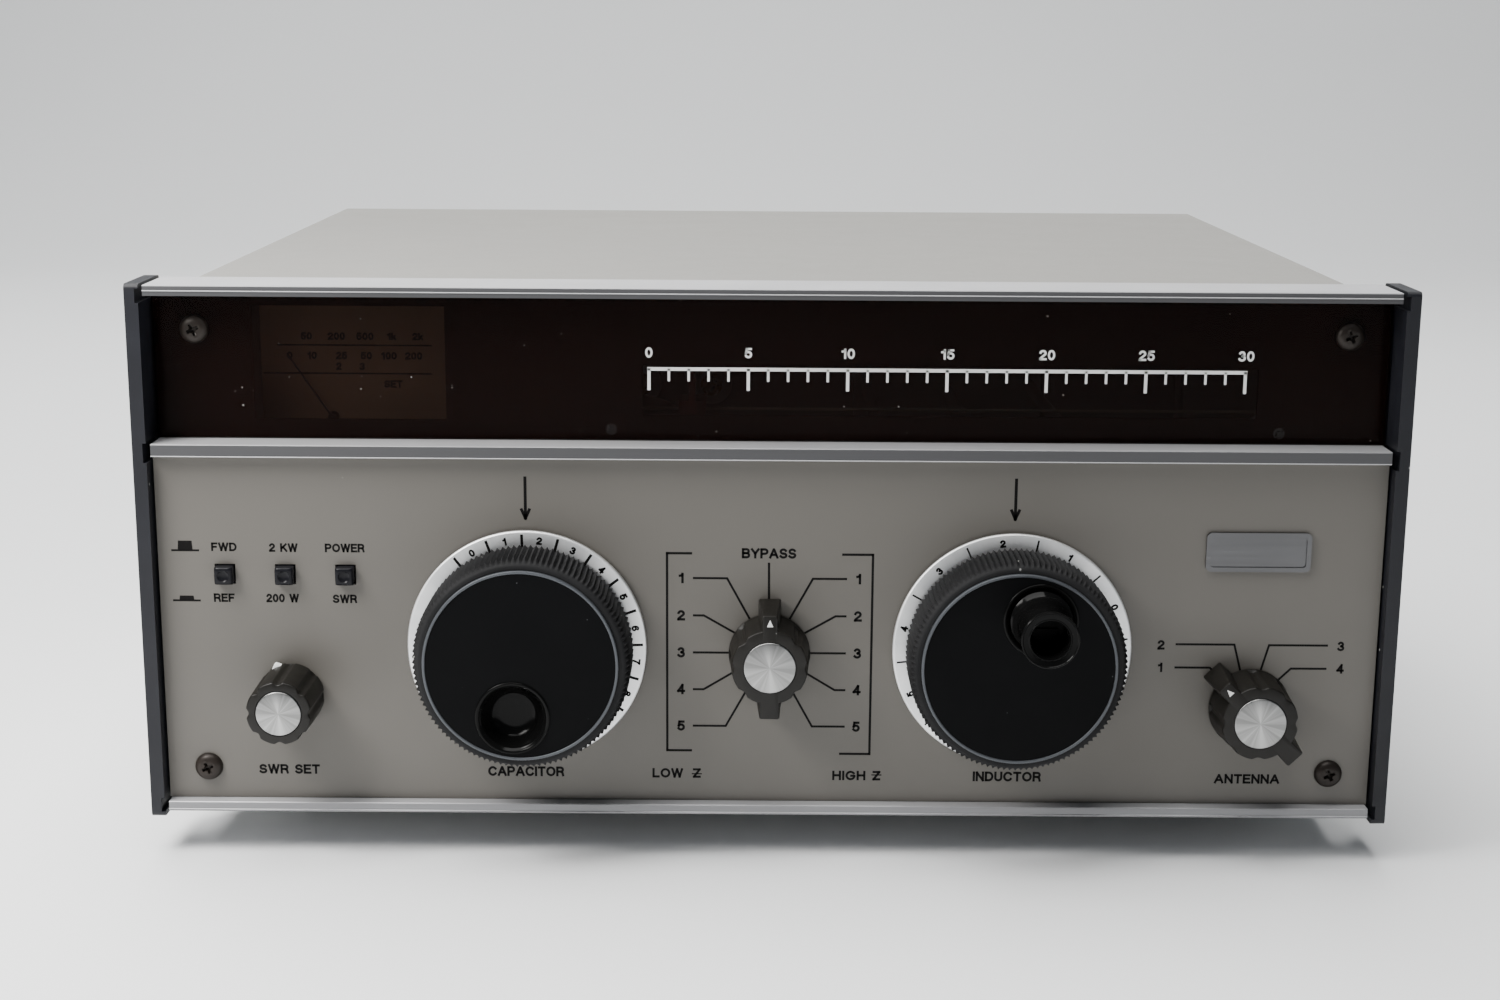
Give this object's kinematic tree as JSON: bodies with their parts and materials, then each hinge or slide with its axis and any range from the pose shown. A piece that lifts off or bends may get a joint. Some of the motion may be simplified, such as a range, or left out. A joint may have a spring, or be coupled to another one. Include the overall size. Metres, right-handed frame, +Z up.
{
  "type": "antenna tuner",
  "caption": "Low wide bench antenna tuner with two knurled dial knobs, pointer switches, push buttons and a smoked window over a meter and a turns scale.",
  "frame": {"origin": "on the table under the middle of the whole object, feet down", "axes": "+X to the right seen from the front, along the width; +Y to the back; +Z up"},
  "size_m": [0.33, 0.3064, 0.1535],
  "materials": {
    "chassis_steel": "zinc plated sheet",
    "cover_paint": "satin warm grey paint",
    "dark_paint": "matte black paint",
    "panel_paint": "satin mid grey paint",
    "smoked_acrylic": "smoked, see-through, polished",
    "rail_plastic": "satin, moulded",
    "trim_aluminium": "brushed along its length",
    "bronzed_steel": "dark bronze finish",
    "black_steel": "black oxide",
    "foot_rubber": "matte",
    "dark_plastic": "moulded",
    "dial_card": "cream paint, slightly aged",
    "needle_metal": "painted black",
    "lamp_glass": "frosted",
    "plain_steel": "turned, nickel plated",
    "red_plastic": "moulded",
    "nylon": "moulded",
    "cord": "braided",
    "frame_aluminium": "plain sheet",
    "coil_ceramic": "unglazed",
    "plated_wire": "silver plated",
    "roller_brass": "polished",
    "dial_aluminium": "satin anodised",
    "knob_plastic": "knurled, matte",
    "face_plastic": "matte, fine turned",
    "cup_plastic": "polished",
    "plate_aluminium": "plain sheet",
    "switch_ceramic": "steatite",
    "small_knob_plastic": "moulded, satin",
    "cap_aluminium": "spun",
    "button_plastic": "moulded",
    "nickel_plate": "nickel plated",
    "white_plastic": "moulded",
    "terminal_ceramic": "glazed",
    "stud_brass": "plain",
    "board_plastic": "glass fibre board",
    "ferrite": "taped core"
  },
  "bodies": {
    "cabinet": {"bottom_chassis": "chassis_steel", "top_cover": "cover_paint", "rear_panel": "cover_paint", "sub_panel": "dark_paint", "front_panel": "panel_paint", "window": "smoked_acrylic", "side_rails": "rail_plastic", "trim_strips": "trim_aluminium", "front_screws": "bronzed_steel", "case_screws": "black_steel", "feet": "foot_rubber", "badge": "trim_aluminium", "meter_case": "dark_plastic", "meter_dial": "dial_card", "scale_lamps": "lamp_glass", "pointer_rail": "plain_steel", "dial_cord": "cord", "inductor_frame": "frame_aluminium", "capacitor_frame": "frame_aluminium", "stator_plates": "plate_aluminium", "mode_switch": "switch_ceramic", "antenna_switch": "switch_ceramic", "swr_pot": "dark_plastic", "button_switches": "dark_plastic", "rear_sockets": "nickel_plate", "socket_inserts": "white_plastic", "terminal_insulators": "terminal_ceramic", "terminal_studs": "stud_brass", "swr_board": "board_plastic", "balun": "ferrite"},
    "capacitor_control": {"capacitor_skirt": "dial_aluminium", "capacitor_knob": "knob_plastic", "capacitor_face": "face_plastic", "capacitor_cup": "cup_plastic", "capacitor_rotor": "plate_aluminium"},
    "inductor_control": {"inductor_skirt": "dial_aluminium", "inductor_knob": "knob_plastic", "inductor_face": "face_plastic", "inductor_cup": "cup_plastic", "crank_pin": "plain_steel", "inductor_shaft": "plain_steel", "coil_form": "coil_ceramic", "coil_winding": "plated_wire"},
    "crank": {"crank_handle": "cup_plastic"},
    "gear": {"pointer_gear": "nylon"},
    "pointer": {"turns_pointer": "red_plastic"},
    "roller": {"contact_roller": "roller_brass"},
    "mode_control": {"mode_shaft": "plain_steel", "mode_knob": "small_knob_plastic", "mode_cap": "cap_aluminium"},
    "antenna_control": {"antenna_shaft": "plain_steel", "antenna_knob": "small_knob_plastic", "antenna_cap": "cap_aluminium"},
    "swr_control": {"swr_shaft": "plain_steel", "swr_knob": "small_knob_plastic", "swr_cap": "cap_aluminium"},
    "left_push": {"left_button": "button_plastic"},
    "middle_push": {"middle_button": "button_plastic"},
    "right_push": {"right_button": "button_plastic"},
    "needle": {"meter_needle": "needle_metal"}
  },
  "joints": [
    {"name": "capacitor_turn", "type": "hinge", "parent": "cabinet", "child": "capacitor_control", "pos_m": [-0.064, -0.11875, 0.0578], "axis": [0, -1, 0], "range_deg": [-28.8, 151.2]},
    {"name": "inductor_turn", "type": "hinge", "parent": "cabinet", "child": "inductor_control", "pos_m": [0.064, -0.11875, 0.0578], "axis": [0, 1, 0], "range_deg": [-788.4, 10011.6]},
    {"name": "crank_spin", "type": "hinge", "parent": "inductor_control", "child": "crank", "pos_m": [0.06902, -0.13875, 0.07087], "axis": [0, 1, 0], "continuous": true},
    {"name": "pointer_gear_turn", "type": "hinge", "parent": "cabinet", "child": "gear", "pos_m": [0.064, -0.10175, 0.0866], "axis": [0, 1, 0], "range_deg": [-2003, 158]},
    {"name": "turns_slide", "type": "slide", "parent": "cabinet", "child": "pointer", "axis": [1, 0, 0], "range_m": [-0.01136, 0.14412]},
    {"name": "roller_slide", "type": "slide", "parent": "cabinet", "child": "roller", "axis": [0, 1, 0], "range_m": [-0.01136, 0.14412]},
    {"name": "mode_turn", "type": "hinge", "parent": "cabinet", "child": "mode_control", "pos_m": [0, -0.11875, 0.0562], "axis": [0, 1, 0], "range_deg": [-150, 150]},
    {"name": "antenna_turn", "type": "hinge", "parent": "cabinet", "child": "antenna_control", "pos_m": [0.1277, -0.11875, 0.042], "axis": [0, 1, 0], "range_deg": [0, 90]},
    {"name": "swr_turn", "type": "hinge", "parent": "cabinet", "child": "swr_control", "pos_m": [-0.127, -0.11875, 0.0439], "axis": [0, 1, 0], "range_deg": [-127.5, 172.5]},
    {"name": "left_push_slide", "type": "slide", "parent": "cabinet", "child": "left_push", "axis": [0, 1, 0], "range_m": [0, 0.0015], "stiffness_N_per_m": 200},
    {"name": "middle_push_slide", "type": "slide", "parent": "cabinet", "child": "middle_push", "axis": [0, 1, 0], "range_m": [0, 0.0015], "stiffness_N_per_m": 200},
    {"name": "right_push_slide", "type": "slide", "parent": "cabinet", "child": "right_push", "axis": [0, 1, 0], "range_m": [0, 0.0015], "stiffness_N_per_m": 200},
    {"name": "needle_swing", "type": "hinge", "parent": "cabinet", "child": "needle", "pos_m": [-0.117, -0.09675, 0.1156], "axis": [0, 1, 0], "range_deg": [0, 88], "stiffness_Nm_per_rad": 0.00002}
  ],
  "couplings": [
    {"joint": "pointer_gear_turn", "follows": "inductor_turn", "ratio": -0.2},
    {"joint": "turns_slide", "follows": "inductor_turn", "m_per_rad": 0.00082442},
    {"joint": "roller_slide", "follows": "inductor_turn", "m_per_rad": 0.00082442}
  ]
}
